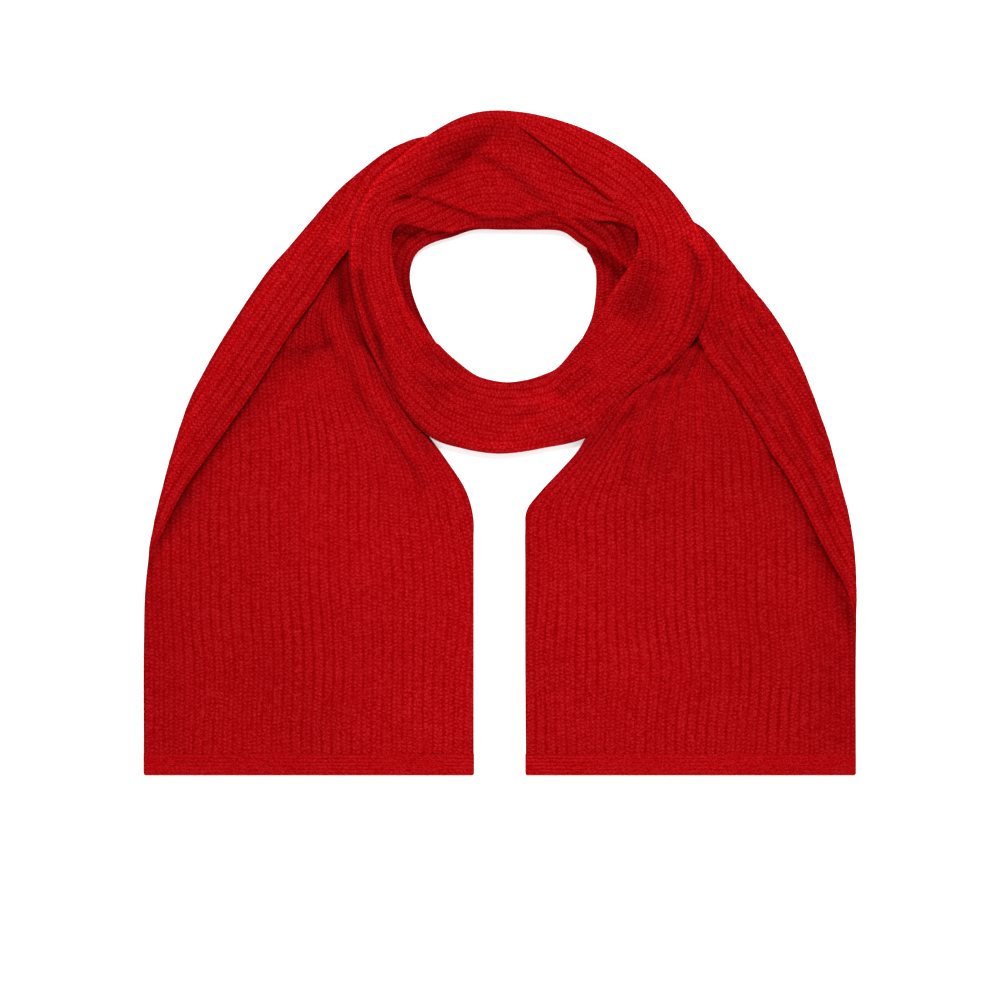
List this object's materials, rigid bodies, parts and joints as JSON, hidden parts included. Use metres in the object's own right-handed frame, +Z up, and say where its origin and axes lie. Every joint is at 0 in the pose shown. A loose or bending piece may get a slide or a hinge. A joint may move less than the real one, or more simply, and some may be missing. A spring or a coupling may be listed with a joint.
{
  "type": "knit scarf",
  "caption": "Long ribbed knit scarf wound once round an open neck loop and laid flat, its ends side by side with their outer edges folded over.",
  "frame": {"origin": "on the ground under the middle of the scarf's bounding box", "axes": "+Z up off the surface it lies on, +Y from the hems towards the back of the neck, +X to the right seen from above"},
  "size_m": [0.604, 0.562, 0.0246],
  "materials": {
    "ribbed_knit": "soft matt red knit, ribbed along its length, slightly fuzzy",
    "hem_knit": "the same red yarn in a flat turned-up band with fine crosswise rows"
  },
  "bodies": {
    "root": {"left_end": "ribbed_knit", "right_end": "ribbed_knit", "left_hem": "hem_knit", "right_hem": "hem_knit", "left_folded_edge": "ribbed_knit", "right_folded_edge": "ribbed_knit", "neck_front": "ribbed_knit", "neck_left": "ribbed_knit", "neck_back": "ribbed_knit", "neck_crossover": "ribbed_knit", "neck_right": "ribbed_knit", "neck_inner_layer": "ribbed_knit", "neck_layers": "ribbed_knit"}
  },
  "joints": []
}
